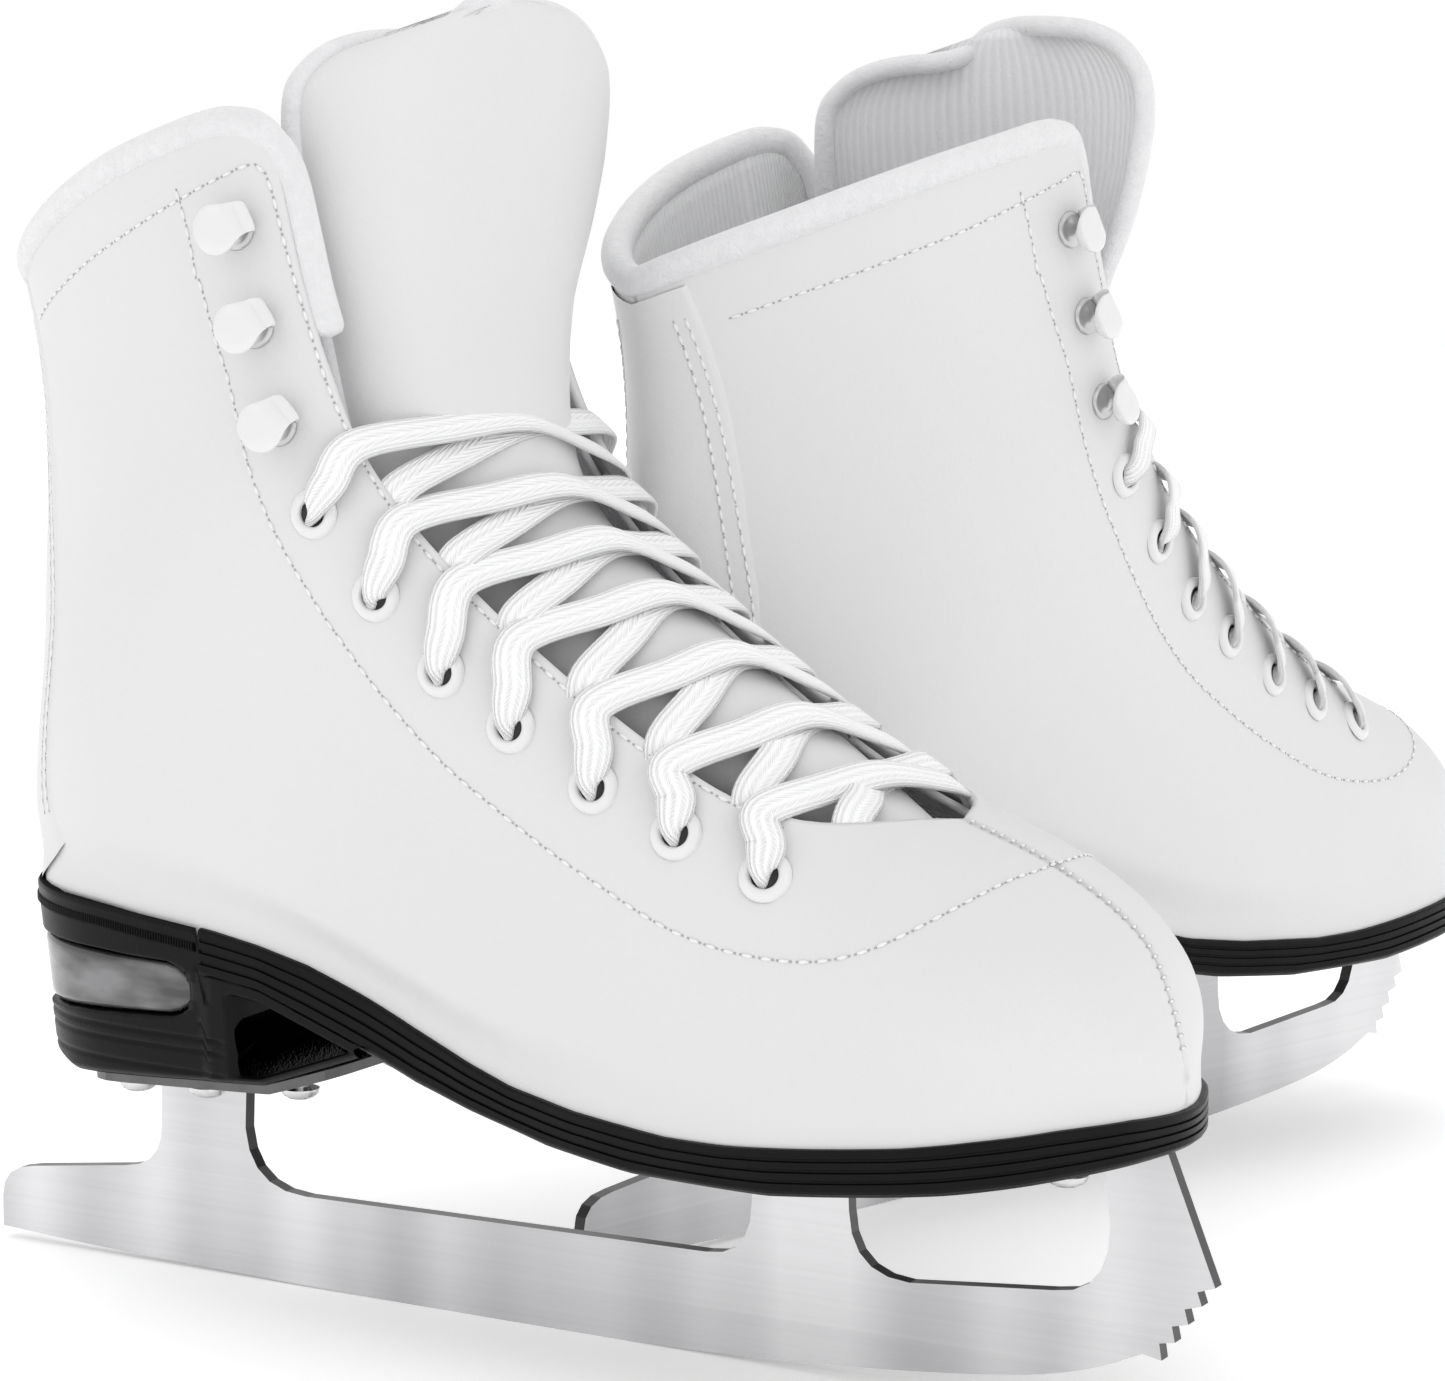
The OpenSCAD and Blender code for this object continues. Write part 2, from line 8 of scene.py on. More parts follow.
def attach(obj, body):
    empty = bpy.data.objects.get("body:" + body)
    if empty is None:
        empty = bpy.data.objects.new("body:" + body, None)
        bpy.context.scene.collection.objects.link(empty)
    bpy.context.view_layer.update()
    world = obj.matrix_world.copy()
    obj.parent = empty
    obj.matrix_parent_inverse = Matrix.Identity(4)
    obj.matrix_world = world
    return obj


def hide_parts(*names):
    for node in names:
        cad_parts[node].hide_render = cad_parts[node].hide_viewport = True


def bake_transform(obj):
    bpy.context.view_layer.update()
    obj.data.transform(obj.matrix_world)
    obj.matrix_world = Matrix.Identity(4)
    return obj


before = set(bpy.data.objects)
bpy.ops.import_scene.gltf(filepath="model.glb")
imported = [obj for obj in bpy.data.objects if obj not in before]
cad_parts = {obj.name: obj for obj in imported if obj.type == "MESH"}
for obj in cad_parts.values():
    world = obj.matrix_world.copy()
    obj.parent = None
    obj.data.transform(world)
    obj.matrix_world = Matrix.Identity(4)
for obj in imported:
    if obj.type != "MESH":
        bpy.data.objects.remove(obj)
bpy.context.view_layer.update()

# ---- Camera and studio -------------------------------------------------------------------------
# The camera stands at the outer side of the right skate, at the height of its collar, and looks a
# little down. A white floor, a white room and three soft panels light the pair.
scene = bpy.context.scene
scene.view_settings.view_transform = "Standard"
lens_data = bpy.data.cameras.new("camera")
lens_data.sensor_width = 36
lens_data.lens = 96.44
lens_data.shift_x = 0.04645
lens_data.shift_y = -0.0085
lens_data.clip_start = 0.02
camera = bpy.data.objects.new("camera", lens_data)
camera.location = (0.378, -0.625, 0.213)
camera.rotation_euler = (math.radians(90 - 6.63), 0, math.radians(30.43))
scene.collection.objects.link(camera)
scene.camera = camera

world = bpy.data.worlds.new("studio")
world.use_nodes = True
world.node_tree.nodes["Background"].inputs["Color"].default_value = (1, 1, 1, 1)
world.node_tree.nodes["Background"].inputs["Strength"].default_value = 1.0
scene.world = world


def panel(name, spot, aim, size, power):
    data = bpy.data.lights.new(name, "AREA")
    data.shape = "RECTANGLE"
    data.size, data.size_y = size
    data.energy = power
    light = bpy.data.objects.new(name, data)
    light.location = spot
    light.rotation_euler = (Vector(aim) - Vector(spot)).to_track_quat("-Z", "Y").to_euler()
    scene.collection.objects.link(light)


panel("key", (-0.5, -1.3, 1.2), (0, 0.05, 0.12), (0.9, 0.9), 1.4)
panel("side", (1.5, -0.3, 0.7), (0, 0.15, 0.12), (0.5, 1.0), 1.6)
panel("top", (0.1, 0.3, 1.6), (0, 0.1, 0.1), (1.2, 1.2), 0.9)


# ---- Finishes ----------------------------------------------------------------------------------
# Each finish is one Principled material. Signal carries a value between nodes, so that maths on
# patterns reads as an expression, and Finish.node makes every other node.
class Signal:
    def __init__(self, finish, socket):
        self.finish, self.socket = finish, socket

    def maths(self, operation, *values):
        n = self.finish.tree.nodes.new("ShaderNodeMath")
        n.operation = operation
        for place, value in zip(n.inputs, values):
            self.finish.feed(place, value)
        return Signal(self.finish, n.outputs[0])

    def __add__(self, other):
        return self.maths("ADD", self, other)

    def __sub__(self, other):
        return self.maths("SUBTRACT", self, other)

    def __rsub__(self, other):
        return self.maths("SUBTRACT", other, self)

    def __mul__(self, other):
        return self.maths("MULTIPLY", self, other)

    def __truediv__(self, other):
        return self.maths("DIVIDE", self, other)

    __radd__, __rmul__ = __add__, __mul__

    def wave(self, length):
        return self.maths("SINE", self * (2 * math.pi / length))

    def above(self, edge, soft):
        return self.maths("MINIMUM", self.maths("MAXIMUM", (self - edge) / soft, 0), 1)


class Finish:
    def __init__(self, name, roughness=0.5, metallic=0.0, **fixed):
        self.material = bpy.data.materials.new(name)
        self.material.use_nodes = True
        self.tree = self.material.node_tree
        self.shader = self.tree.nodes["Principled BSDF"]
        self.shader.inputs["Roughness"].default_value = roughness
        self.shader.inputs["Metallic"].default_value = metallic
        for key, value in fixed.items():
            self.shader.inputs[key.replace("_", " ")].default_value = value

    def feed(self, place, value):
        if isinstance(value, Signal):
            self.tree.links.new(value.socket, place)
        else:
            place.default_value = value

    def node(self, kind, settings=None, out=0, **values):
        n = self.tree.nodes.new(kind)
        for key, value in (settings or {}).items():
            setattr(n, key, value)
        for key, value in values.items():
            self.feed(n.inputs[key.replace("_", " ")], value)
        return Signal(self, n.outputs[out])

    def place(self, scale=(1, 1, 1), turn=0.0):
        spot = self.node("ShaderNodeTexCoord", out=3)
        return self.node("ShaderNodeMapping", Vector=spot, Scale=scale, Rotation=(0, 0, turn))

    def noise(self, where, scale, detail=3.0):
        return self.node("ShaderNodeTexNoise", Vector=where, Scale=scale, Detail=detail)

    def blend(self, share, first, second):
        n = self.tree.nodes.new("ShaderNodeMix")
        n.data_type = "RGBA"
        self.feed(n.inputs[0], share)
        self.feed(n.inputs[6], first)
        self.feed(n.inputs[7], second)
        return Signal(self, n.outputs[2])

    def colour(self, value):
        self.feed(self.shader.inputs["Base Color"], value)

    def rough(self, value):
        self.feed(self.shader.inputs["Roughness"], value)

    def bump(self, height, depth, strength=1.0):
        raised = self.node("ShaderNodeBump", Height=height, Distance=depth, Strength=strength)
        self.feed(self.shader.inputs["Normal"], raised)


def grey(level, blue=0.0):
    return (level, level, level + blue, 1)


# ---- Boot shape --------------------------------------------------------------------------------
# The boot is built on a last. Its sections lean from a front point to a back point: front x, z,
# back x, z, half width, place of the widest point, roundness of front and back, and narrowing.
MM = 0.001
SECTIONS = [
    [119, 66, 119.5, 62.5, 1.5, 0.5, 1.8, 2.4, 0],
    [117, 76, 113, 59, 18.5, 0.55, 1.9, 3, 0],
    [110.5, 89, 104, 57.5, 31, 0.65, 2, 4.4, 0],
    [93.5, 100.5, 87, 55, 40, 0.65, 2.3, 5.8, -0.05],
    [62, 113.5, 53, 51.5, 42.5, 0.6, 2.7, 5.7, -0.05],
    [29.5, 135.5, 11, 51.5, 42.5, 0.5, 3, 5.2, 0],
    [2, 156, -35, 61.5, 44.5, 0.4, 3.1, 4.8, 0.2],
    [-15, 174, -92, 73.5, 47, 0.33, 3.3, 4.3, 0.35],
    [-23.5, 190.5, -130, 83.5, 47.5, 0.3, 3.4, 2.5, 0.4],
    [-29.5, 207, -132.5, 131, 47, 0.3, 3.4, 1.9, 0.45],
    [-34, 226, -130, 176, 46, 0.3, 3.3, 2, 0.4],
    [-36, 245, -136.5, 208, 45.5, 0.3, 3.2, 1.9, 0.3],
    [-37.5, 263.5, -146, 231, 45.5, 0.3, 3.2, 2.1, 0.3],
]
COLLAR = [(55, 9.9), (59, 10.05), (62, 10.2), (66, 10.33), (72, 10.5), (80, 10.6), (90, 10.67),
          (105, 10.73), (120, 10.76), (135, 10.75), (150, 10.73), (165, 10.7), (180, 10.65)]
TOP_ROW = 10.5


def through(points, s):
    """Point of the smooth curve through a list, at place s counted in points."""
    last = len(points) - 1
    s = min(max(s, 0), last)
    i = min(int(s), last - 1)
    t = s - i
    rows = zip(points[max(i - 1, 0)], points[i], points[i + 1], points[min(i + 2, last)])
    return [0.5 * (2 * b + (c - a) * t + (2 * a - 5 * b + 4 * c - d) * t * t + (3 * b - a - 3 * c + d) * t ** 3)
            for a, b, c, d in rows]


def between(table, x):
    """Height of a table's line at x."""
    for (x0, y0), (x1, y1) in zip(table, table[1:]):
        if x <= x1:
            return y0 + (y1 - y0) * max(0, (x - x0) / (x1 - x0))
    return table[-1][1]


def skin(s, a, d=0.0, side=-1):
    """Point of the boot in metres at section s, a degrees from the front, d mm inside its face."""
    fx, fz, bx, bz, half, widest, fore, aft, narrow = through(SECTIONS, s)
    length = math.hypot(bx - fx, bz - fz)
    ux, uz = (bx - fx) / length, (bz - fz) / length
    fx, fz, bx, bz = fx + ux * d, fz + uz * d, bx - ux * d, bz - uz * d
    turn = math.radians(a)
    power = 2 / (fore if a <= 90 else aft)
    c = abs(math.cos(turn)) ** power
    t = widest * (1 - c) if a <= 90 else widest + (1 - widest) * c
    y = max(half - d, 0.4) * max(math.sin(turn), 0) ** power * (1 - narrow * t * t)
    return Vector((fx + (bx - fx) * t - max(0, 1 - s) * d, side * y, fz + (bz - fz) * t)) * MM


def outward(s, a, side=-1):
    """Direction straight out of the boot's face."""
    along = skin(s + 0.04, a, 0, side) - skin(s - 0.04, a, 0, side)
    round_ = skin(s, min(a + 1, 180), 0, side) - skin(s, max(a - 1, 0), 0, side)
    return (along.cross(round_) * -side).normalized()


def throat(s):
    return 0 if s <= 3.6 else 53 * (1 - math.exp(-(s - 3.6) / 0.4)) + 3.2 * max(0, s - 8.2)


def lifted(row, a):
    return row + (between(COLLAR, a) - TOP_ROW) * max(0, (row - 8) / (TOP_ROW - 8)) ** 2


# The sole's half width along its length, and the height of its rim
SOLE_PLAN = [(-131, 0), (-129, 10), (-122, 20), (-110, 27), (-92, 30), (-60, 31), (-30, 31.5),
             (0, 36.5), (30, 43), (62, 46.5), (88, 44), (103, 36), (114, 22), (119, 11), (121, 0)]
RIM = [(-132, 82.5), (-128, 82.2), (-100, 80.5), (-72, 77.6), (-60, 75.6), (-49, 73), (-36, 68.5), (-23, 63.5),
       (-10, 59), (1, 56), (16, 54), (29, 53.2), (38, 52.6), (50, 52.8), (67, 54.4), (85, 56.3), (97, 58),
       (108, 59.2), (116, 59.4), (122, 58.5)]


def plan(s):
    """Point of the sole's half outline; a mirrored neighbour rounds each end."""
    return through([(-129, -10)] + SOLE_PLAN + [(119, -11)], s + 1)


SOLE_EDGE = [plan(k / 8) for k in range(8 * len(SOLE_PLAN) - 7)]


def ease(x, lo, hi):
    t = min(max((x - lo) / (hi - lo), 0), 1)
    return t * t * (3 - 2 * t)


def seated(point, proud=0.0):
    """Pulls a point near the sole out to its rim, as the foot of the upper is on the last."""
    x, y, z = point / MM
    near = ease(between(RIM, x) + 14 - z, 0, 14)
    hub = min(max(x, -95), 80)
    far = math.hypot(x - hub, y)
    if near == 0 or far < 1:
        return point
    way_x, way_y = (x - hub) / far, y / far
    low, high = 0.0, 60.0
    for _ in range(14):
        middle = (low + high) / 2
        inside = abs(way_y) * middle < between(SOLE_EDGE, hub + way_x * middle)
        low, high = (middle, high) if inside else (low, middle)
    far += (low - 1.3 + proud - far) * near * ease(far / low, 0.5, 0.8)
    return Vector((hub + way_x * far, way_y * far, z)) * MM


# ---- Quarters ----------------------------------------------------------------------------------
# Each upper is an outer and an inner quarter of smooth coated white leather, cut as one piece from
# toe to collar, sewn to each other down the toe and the heel and pulled down over the last.
LEFT_SKATE = (Matrix.Translation((0.016, 0.177, 0)) @ Matrix.Rotation(math.radians(73), 4, "Z")
              @ Matrix.Diagonal((1, -1, 1, 1)))


def sheet(columns, rows, place):
    """Grid mesh with each corner moved to place(u, v), and its UV map."""
    bm = bmesh.new()
    bmesh.ops.create_grid(bm, x_segments=columns, y_segments=rows, size=0.5)
    uv = bm.loops.layers.uv.new("UVMap")
    for face in bm.faces:
        for loop in face.loops:
            loop[uv].uv = (loop.vert.co.x + 0.5, loop.vert.co.y + 0.5)
    for vert in bm.verts:
        vert.co = place(vert.co.x + 0.5, vert.co.y + 0.5)
    bmesh.ops.remove_doubles(bm, verts=bm.verts, dist=2e-6)
    return bm


def face_outwards(bm, core):
    """Turns an open sheet so that its faces look away from the core point of each."""
    if sum(f.normal.dot(f.calc_center_median() - core(f.calc_center_median())) * f.calc_area() for f in bm.faces) < 0:
        bmesh.ops.reverse_faces(bm, faces=bm.faces)


def boot_core(point):
    return Vector((point.x - 0.02, 0, point.z - 0.025))


def join(target, part, matrix):
    """Adds a part's mesh to another mesh, placed by a matrix."""
    part.transform(matrix)
    spare = bpy.data.meshes.new("spare")
    part.to_mesh(spare)
    part.free()
    target.from_mesh(spare)
    bpy.data.meshes.remove(spare)


def pair(name, bm, finish, nodes=(), closed=False, thickness=0.0, tongue=False, smooth=True):
    """Makes a piece of the right skate from a mesh, and the left skate's mirror image of it."""
    bmesh.ops.recalc_face_normals(bm, faces=bm.faces)
    if not closed:
        face_outwards(bm, boot_core)
    for foot in ("right", "left"):
        mesh = bpy.data.meshes.new(f"{foot}_{name}")
        if foot == "left":
            bm.transform(LEFT_SKATE)
            bmesh.ops.reverse_faces(bm, faces=bm.faces)
        bm.to_mesh(mesh)
        for polygon in mesh.polygons:
            polygon.use_smooth = smooth
        mesh.materials.append((finish[foot] if isinstance(finish, dict) else finish).material)
        piece = bpy.data.objects.new(f"{foot}_{name}", mesh)
        scene.collection.objects.link(piece)
        if thickness:
            wall = piece.modifiers.new("wall", "SOLIDIFY")
            wall.thickness = thickness * MM
            wall.offset = -1
        if tongue:
            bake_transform(piece)
        else:
            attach(piece, f"{foot}_skate")
        if nodes:
            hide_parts(*[f"{foot}_{n}" for n in nodes])
    bm.free()


leather = Finish("white_leather", roughness=0.42, Specular_IOR_Level=0.45)
grain_spot = leather.place()
grain = leather.node("ShaderNodeTexVoronoi", {"feature": "SMOOTH_F1"}, Vector=grain_spot, Scale=1300.0)
tone = leather.noise(grain_spot, 14.0, 2.0)
pores = leather.noise(grain_spot, 2600.0, 2.0)
leather.colour(leather.blend(tone, grey(0.665, 0.006), grey(0.7, 0.005)))
leather.rough(0.36 + 0.14 * leather.noise(grain_spot, 60.0))
leather.bump(0.6 * grain + 0.4 * pores + 3.0 * leather.noise(grain_spot, 45.0, 2.0), 0.00006)


TOE_TIP = Vector((0.1198, 0, 0.0643))


def seam_dip(y, reach=0.9, depth=0.5):
    return depth * math.exp(-(y / (reach * MM)) ** 2)


def quarter_point(u, v):
    if u == 0:
        return TOE_TIP
    row = (TOP_ROW + 0.12) * u
    low = throat(row)
    a = low + (180 - low) * v
    s = lifted(row, a)
    y = skin(s, a).y
    dip = seam_dip(y) if (row < 3.7 and a < 90) or row > 7.6 else 0
    return seated(skin(s, a, dip))


for side_name, side_sign in (("outer", 1), ("inner", -1)):
    quarter = sheet(130, 64, quarter_point)
    quarter.transform(Matrix.Diagonal((1, side_sign, 1, 1)))
    pair(f"{side_name}_quarter_leather", quarter, leather, (f"{side_name}_quarter",), thickness=2.0)

# ---- Stitching ---------------------------------------------------------------------------------
# White bonded thread, three stitches to the centimetre, pulled into the leather, with a small grey
# disc at each end as painted shade in its needle hole. One row follows the facings, one runs under
# the collar, two run down each side of the backstay, and broad stitches close the seam over the toe.
thread = Finish("white_thread", roughness=0.7, Sheen_Weight=0.3)
twist = thread.place(turn=0.6)
thread.colour(thread.blend(thread.noise(twist, 900.0), grey(0.74), grey(0.86)))
thread.bump(thread.noise(twist, 2200.0), 0.0001)
# Grey discs at the stitch ends are painted shade in the needle holes.
hole_shade_paint = Finish("stitch_hole_shade", roughness=0.9)
hole_shade_paint.colour(hole_shade_paint.blend(hole_shade_paint.noise(hole_shade_paint.place(), 3000.0), grey(0.34), grey(0.46)))

EYESTAY_ROW = [(10.45, 92.5), (10.1, 91), (9.4, 89), (8.7, 86), (7.9, 85), (7.2, 86.5), (6.7, 88), (6.3, 89.3),
               (5.9, 89.8), (5.5, 89.3), (5, 88), (4.5, 86), (4.1, 81.5), (3.7, 73.5), (3.4, 60), (3.15, 38),
               (3, 12), (2.98, 0)]
COLLAR_ROW = [(10.42, 150), (10.42, 135), (10.4, 117), (10.37, 104.5), (10.35, 94), (10.32, 84), (10.28, 72),
              (10.1, 66), (9.6, 62.5), (8.8, 58), (8, 55.5), (7.28, 55), (6.4, 56), (5.6, 56), (5, 55),
              (4.5, 49.5), (4.1, 43)]


# Edge of the backstay strip
FLARE = [(8, 140), (8.4, 140), (8.9, 142), (9.4, 146), (10, 153), (10.5, 159)]


def ball(spot, size, bm):
    matrix = spot @ Matrix.Diagonal((size[0] * MM, size[1] * MM, size[2] * MM, 1))
    bmesh.ops.create_uvsphere(bm, u_segments=6, v_segments=4, radius=1, matrix=matrix)


def stitch_row(threads, hole_shade_marks, route, side, pitch=3.6, width=0.36, length=1.15, across=False, proud=0.12):
    steps = 40 * (len(route) - 1)
    walk = [through(route, (len(route) - 1) * k / steps) for k in range(steps + 1)]
    spots = [seated(skin(s, a, -proud, side), proud) for s, a in walk]
    gone = pitch * MM / 2
    row, holes = bmesh.new(), bmesh.new()
    for k in range(steps):
        gone += (spots[k + 1] - spots[k]).length
        if gone < pitch * MM:
            continue
        gone -= pitch * MM
        way = (spots[k + 1] - spots[k]).normalized()
        up = outward(*walk[k], side)
        run = up.cross(way).normalized() if across else way
        spot = Matrix.Translation(spots[k]) @ Matrix((run, up.cross(run), up)).transposed().to_4x4()
        ball(spot, (length, width, width * 0.8), row)
        # A flat grey disc at both ends of each stitch is painted shade in its needle hole.
        for end in (-1, 1):
            ball(spot @ Matrix.Translation((end * (length + 0.12) * MM, 0, -0.06 * MM)), (0.27, 0.25, 0.12), holes)
    join(threads, row, Matrix.Identity(4))
    join(hole_shade_marks, holes, Matrix.Identity(4))


threads, hole_shade_marks = bmesh.new(), bmesh.new()
for side in (-1, 1):
    stitch_row(threads, hole_shade_marks, EYESTAY_ROW, side)
    stitch_row(threads, hole_shade_marks, COLLAR_ROW, side)
    for inset in (1.5, 5):
        edge = [(s, a + inset) for s, a in FLARE[::-1]]
        stitch_row(threads, hole_shade_marks, edge, side, pitch=2.8, proud=0.6 + 0.03 * inset)
TOE_SEAM = [(3.55, 0.5), (3, 0.5), (2, 0.5), (1, 0.5), (0.4, 0.5)]
stitch_row(threads, hole_shade_marks, TOE_SEAM, -1, pitch=2.1, length=0.85, width=0.3, across=True)
pair("stitching", threads, thread, closed=True)
pair("stitch_hole_shades", hole_shade_marks, hole_shade_paint, closed=True)

# ---- Backstay ----------------------------------------------------------------------------------
# A strip of the same leather covers the heel seam from the collar to the heel, and widens over
# the counter. It is glued and sewn down both edges.


def backstay_point(u, v):
    row = 7.75 + (TOP_ROW - 7.75) * u
    low = between(FLARE, row)
    a = low + (180 - low) * (1 - abs(2 * v - 1))
    edge = min(1, (1 - abs(2 * v - 1)) * 14)
    proud = 0.75 * math.sqrt(edge * (2 - edge)) - 0.1
    return seated(skin(lifted(row, a), a, -proud, 1 if v > 0.5 else -1), proud)


pair("backstay_strip", sheet(70, 60, backstay_point), leather, ("backstay",))

# ---- Collar binding ----------------------------------------------------------------------------
# A roll of pale fleece is folded over the collar's edge and down each facing, where it ends in a
# small tack above the top eyelet.
fleece = Finish("pale_fleece", roughness=0.95, Sheen_Weight=0.5, Sheen_Roughness=0.6)
pile_spot = fleece.place()
pile = fleece.noise(pile_spot, 1500.0, 4.0)
fleece.colour(fleece.blend(fleece.noise(pile_spot, 420.0), grey(0.66, 0.01), grey(0.78, 0.012)))
fleece.bump(pile + fleece.noise(pile_spot, 380.0), 0.0003)

BINDING = [(8.6, 50), (9.1, 51.5), (9.6, 53), (10, 55), (10.25, 58), (10.43, 62.5), (10.6, 68), (10.7, 75),
           (10.79, 84), (10.86, 95), (10.91, 108), (10.92, 122), (10.9, 136), (10.87, 150), (10.82, 165), (10.77, 180)]


def roll(route, radius, core, around=20, rows=260):
    """Round roll along a list of points, closed and rounded at both ends."""
    last = len(route) - 1

    def spot(t):
        return Vector(through(route, last * t))

    def place(u, v):
        centre = spot(u)
        way = (spot(min(u + 0.003, 1)) - spot(max(u - 0.003, 0))).normalized()
        out = way.cross((centre - core).cross(way)).normalized()
        side = way.cross(out)
        swell = math.sqrt(max(0, 1 - max(0, abs(2 * u - 1) - 0.98) ** 2 / 0.0004))
        turn = 2 * math.pi * v
        return centre + (out * math.cos(turn) + side * math.sin(turn)) * radius * MM * swell
    return sheet(rows, around, place)


collar_half = [skin(s, a, 2.2) for s, a in BINDING]
collar_route = collar_half + [Vector((p.x, -p.y, p.z)) for p in collar_half[-2::-1]]
pair("collar_roll", roll(collar_route, 3.3, Vector((-0.08, 0, 0.2))), fleece,
     ("collar_binding",), closed=True)

# ---- Lining ------------------------------------------------------------------------------------
# The boot is lined with the same fleece, which is knitted in fine ribs.


def ribbed_fleece(name, ribs):
    """Fleece with knitted ribs along the piece, that many over its width."""
    knit = Finish(name, roughness=0.95, Sheen_Weight=0.4, Sheen_Roughness=0.6)
    spot = knit.place()
    across = knit.node("ShaderNodeSeparateXYZ", out=1, Vector=knit.node("ShaderNodeTexCoord", out=2))
    rib = across.wave(1 / ribs)
    # The colour is darker in the rib hollows as painted shade, and varies at random with the noise.
    knit.colour(knit.blend(0.5 + 0.2 * rib + 0.2 * knit.noise(spot, 400.0), grey(0.66, 0.01), grey(0.8, 0.012)))
    knit.bump(0.4 * rib + 0.6 * knit.noise(spot, 1400.0), 0.0003)
    return knit


lining_fleece = ribbed_fleece("ribbed_fleece", 150)
tongue_fleece = ribbed_fleece("tongue_fleece", 44)


def lining_point(u, v):
    row = 0.8 + (TOP_ROW - 0.75) * u
    low = max(throat(row) + 1, 5)
    a = 180 - (180 - low) * abs(2 * v - 1)
    return skin(lifted(row, a), a, 3.1, 1 if v > 0.5 else -1)


pair("fleece_lining", sheet(90, 120, lining_point), lining_fleece,
     ("lining", "eyelet_facings", "heel_counter", "toe_puff"), thickness=1.6)

# ---- Tongue ------------------------------------------------------------------------------------
# A padded tongue of white leather with a fleece back and a rolled fleece edge. It is sewn in at
# the throat, lies under the lace and stands up above it. Rows: x, z, half width, depth, turn.
TONGUE = [(71, 103, 9, 3, 0), (53, 114.5, 18, 7, 0), (39, 123.5, 24, 10, 0), (20, 136.5, 28, 12, 0),
          (-1, 152, 30, 14, 0), (-12.5, 163, 31, 15, 0), (-18.5, 176, 32, 16, 3), (-21, 196, 33, 17, 8),
          (-23, 216, 37, 16, 13), (-25, 236, 38, 14, 18), (-26, 248, 38, 12, 19), (-26.5, 256.5, 37, 9, 20)]
FOLD = {"right": ((-0.011, 0, 0.157), (-0.02, 0, 0.186))}
FOLD["left"] = tuple(tuple(LEFT_SKATE @ Vector(p)) for p in FOLD["right"])
TONGUE_TOP = 11.0


def tongue_point(s, a, d):
    x, z, half, depth, turn = through(TONGUE, s)
    nx, nz = through(TONGUE, s + 0.2)[:2]
    px, pz = through(TONGUE, s - 0.2)[:2]
    length = math.hypot(nx - px, nz - pz)
    wx, wz = (nx - px) / length, (nz - pz) / length
    half *= (1 - max(0, (s - 8.7) / (TONGUE_TOP + 0.02 - 8.7)) ** 2.6) ** (1 / 2.6)
    arc, tilt = math.radians(a), math.radians(turn)
    inward = -depth * (1 - math.cos(arc)) - d
    y = half * math.sin(arc)
    back = inward * math.cos(tilt) + y * math.sin(tilt)
    lean = 3 * min(max((s - 7.2) / 1.3, 0), 1)
    droop = 7 * max(0, -math.sin(arc)) ** 1.5 * min(max((s - 8.5) / 2.5, 0), 1)
    return Vector((x + wz * back, y * math.cos(tilt) - inward * math.sin(tilt) + lean, z - wx * back - droop)) * MM


def tongue_front(u, v):
    s = TONGUE_TOP * (1 - (1 - u) ** 1.4)
    return tongue_point(s, -90 + 180 * v, 1.6 * abs(2 * v - 1) ** 6)


def tongue_back(u, v):
    s = TONGUE_TOP * (1 - (1 - u) ** 1.4)
    puff = 4.4 * math.sqrt(max(0, 1 - (2 * v - 1) ** 4))
    return tongue_point(s, -89 + 178 * v, 1.9 + puff * min(1, (1 - u) * 12) ** 0.5)


pair("tongue_leather", sheet(90, 40, tongue_front), leather, ("tongue_base", "tongue"),
     thickness=1.4, tongue=True)
pair("tongue_fleece", sheet(90, 40, tongue_back), tongue_fleece, ("tongue_lining",),
     closed=True, tongue=True)
tongue_side = [tongue_point(s, -90, 1.6) for s in (4.6, 5.2, 6, 7, 8, 8.8, 9.5, 10, 10.4, 10.7, 10.88, 10.97)]
tongue_over = [tongue_point(11, a, 1.2) for a in (-60, -20, 20, 60)]
tongue_other = [tongue_point(s, 90, 1.6) for s in (10.97, 10.88, 10.7, 10.4, 10, 9.5, 8.8, 8, 7, 6, 5.2, 4.6)]
pair("tongue_roll", roll(tongue_side + tongue_over + tongue_other, 2.2, Vector((-0.03, 0, 0.2)), 14, 300), fleece,
     ("tongue_binding",), closed=True, tongue=True)

# ---- Eyelets -----------------------------------------------------------------------------------
# Seven pairs of brass eyelets in white enamel, domed outside and clenched behind the facing. A dark
# disc in each hole is painted shade, where the inside of the boot lies in shadow.
EYELETS = [(4.12, 60.5), (4.6, 67), (5.07, 72.5), (5.58, 75.5), (6.05, 78), (6.6, 76.5), (7.35, 76)]
HOOKS = [(8.2, 75), (9.05, 77), (9.85, 80)]
enamel = Finish("white_enamel", roughness=0.22, Coat_Weight=0.4, Coat_Roughness=0.1)
chips = enamel.place()
enamel.colour(enamel.blend(enamel.noise(chips, 120.0), grey(0.71), grey(0.76)))
enamel.bump(enamel.noise(chips, 500.0), 0.00003)
# Near-black discs set in the eyelet holes are painted shade.
dark = Finish("hole_shade", roughness=0.9)
dark.colour(dark.blend(dark.noise(dark.place(), 700.0), grey(0.015), grey(0.05)))


def seat(s, a, side):
    """Placing matrix on the boot: z straight out, x towards the facing's edge."""
    up = outward(s, a, side)
    ahead = (skin(s, a - 2, 0, side) - skin(s, a + 2, 0, side)).normalized()
    ahead = (ahead - up * ahead.dot(up)).normalized()
    return Matrix.Translation(skin(s, a, 0, side)) @ Matrix((ahead, up.cross(ahead), up)).transposed().to_4x4()


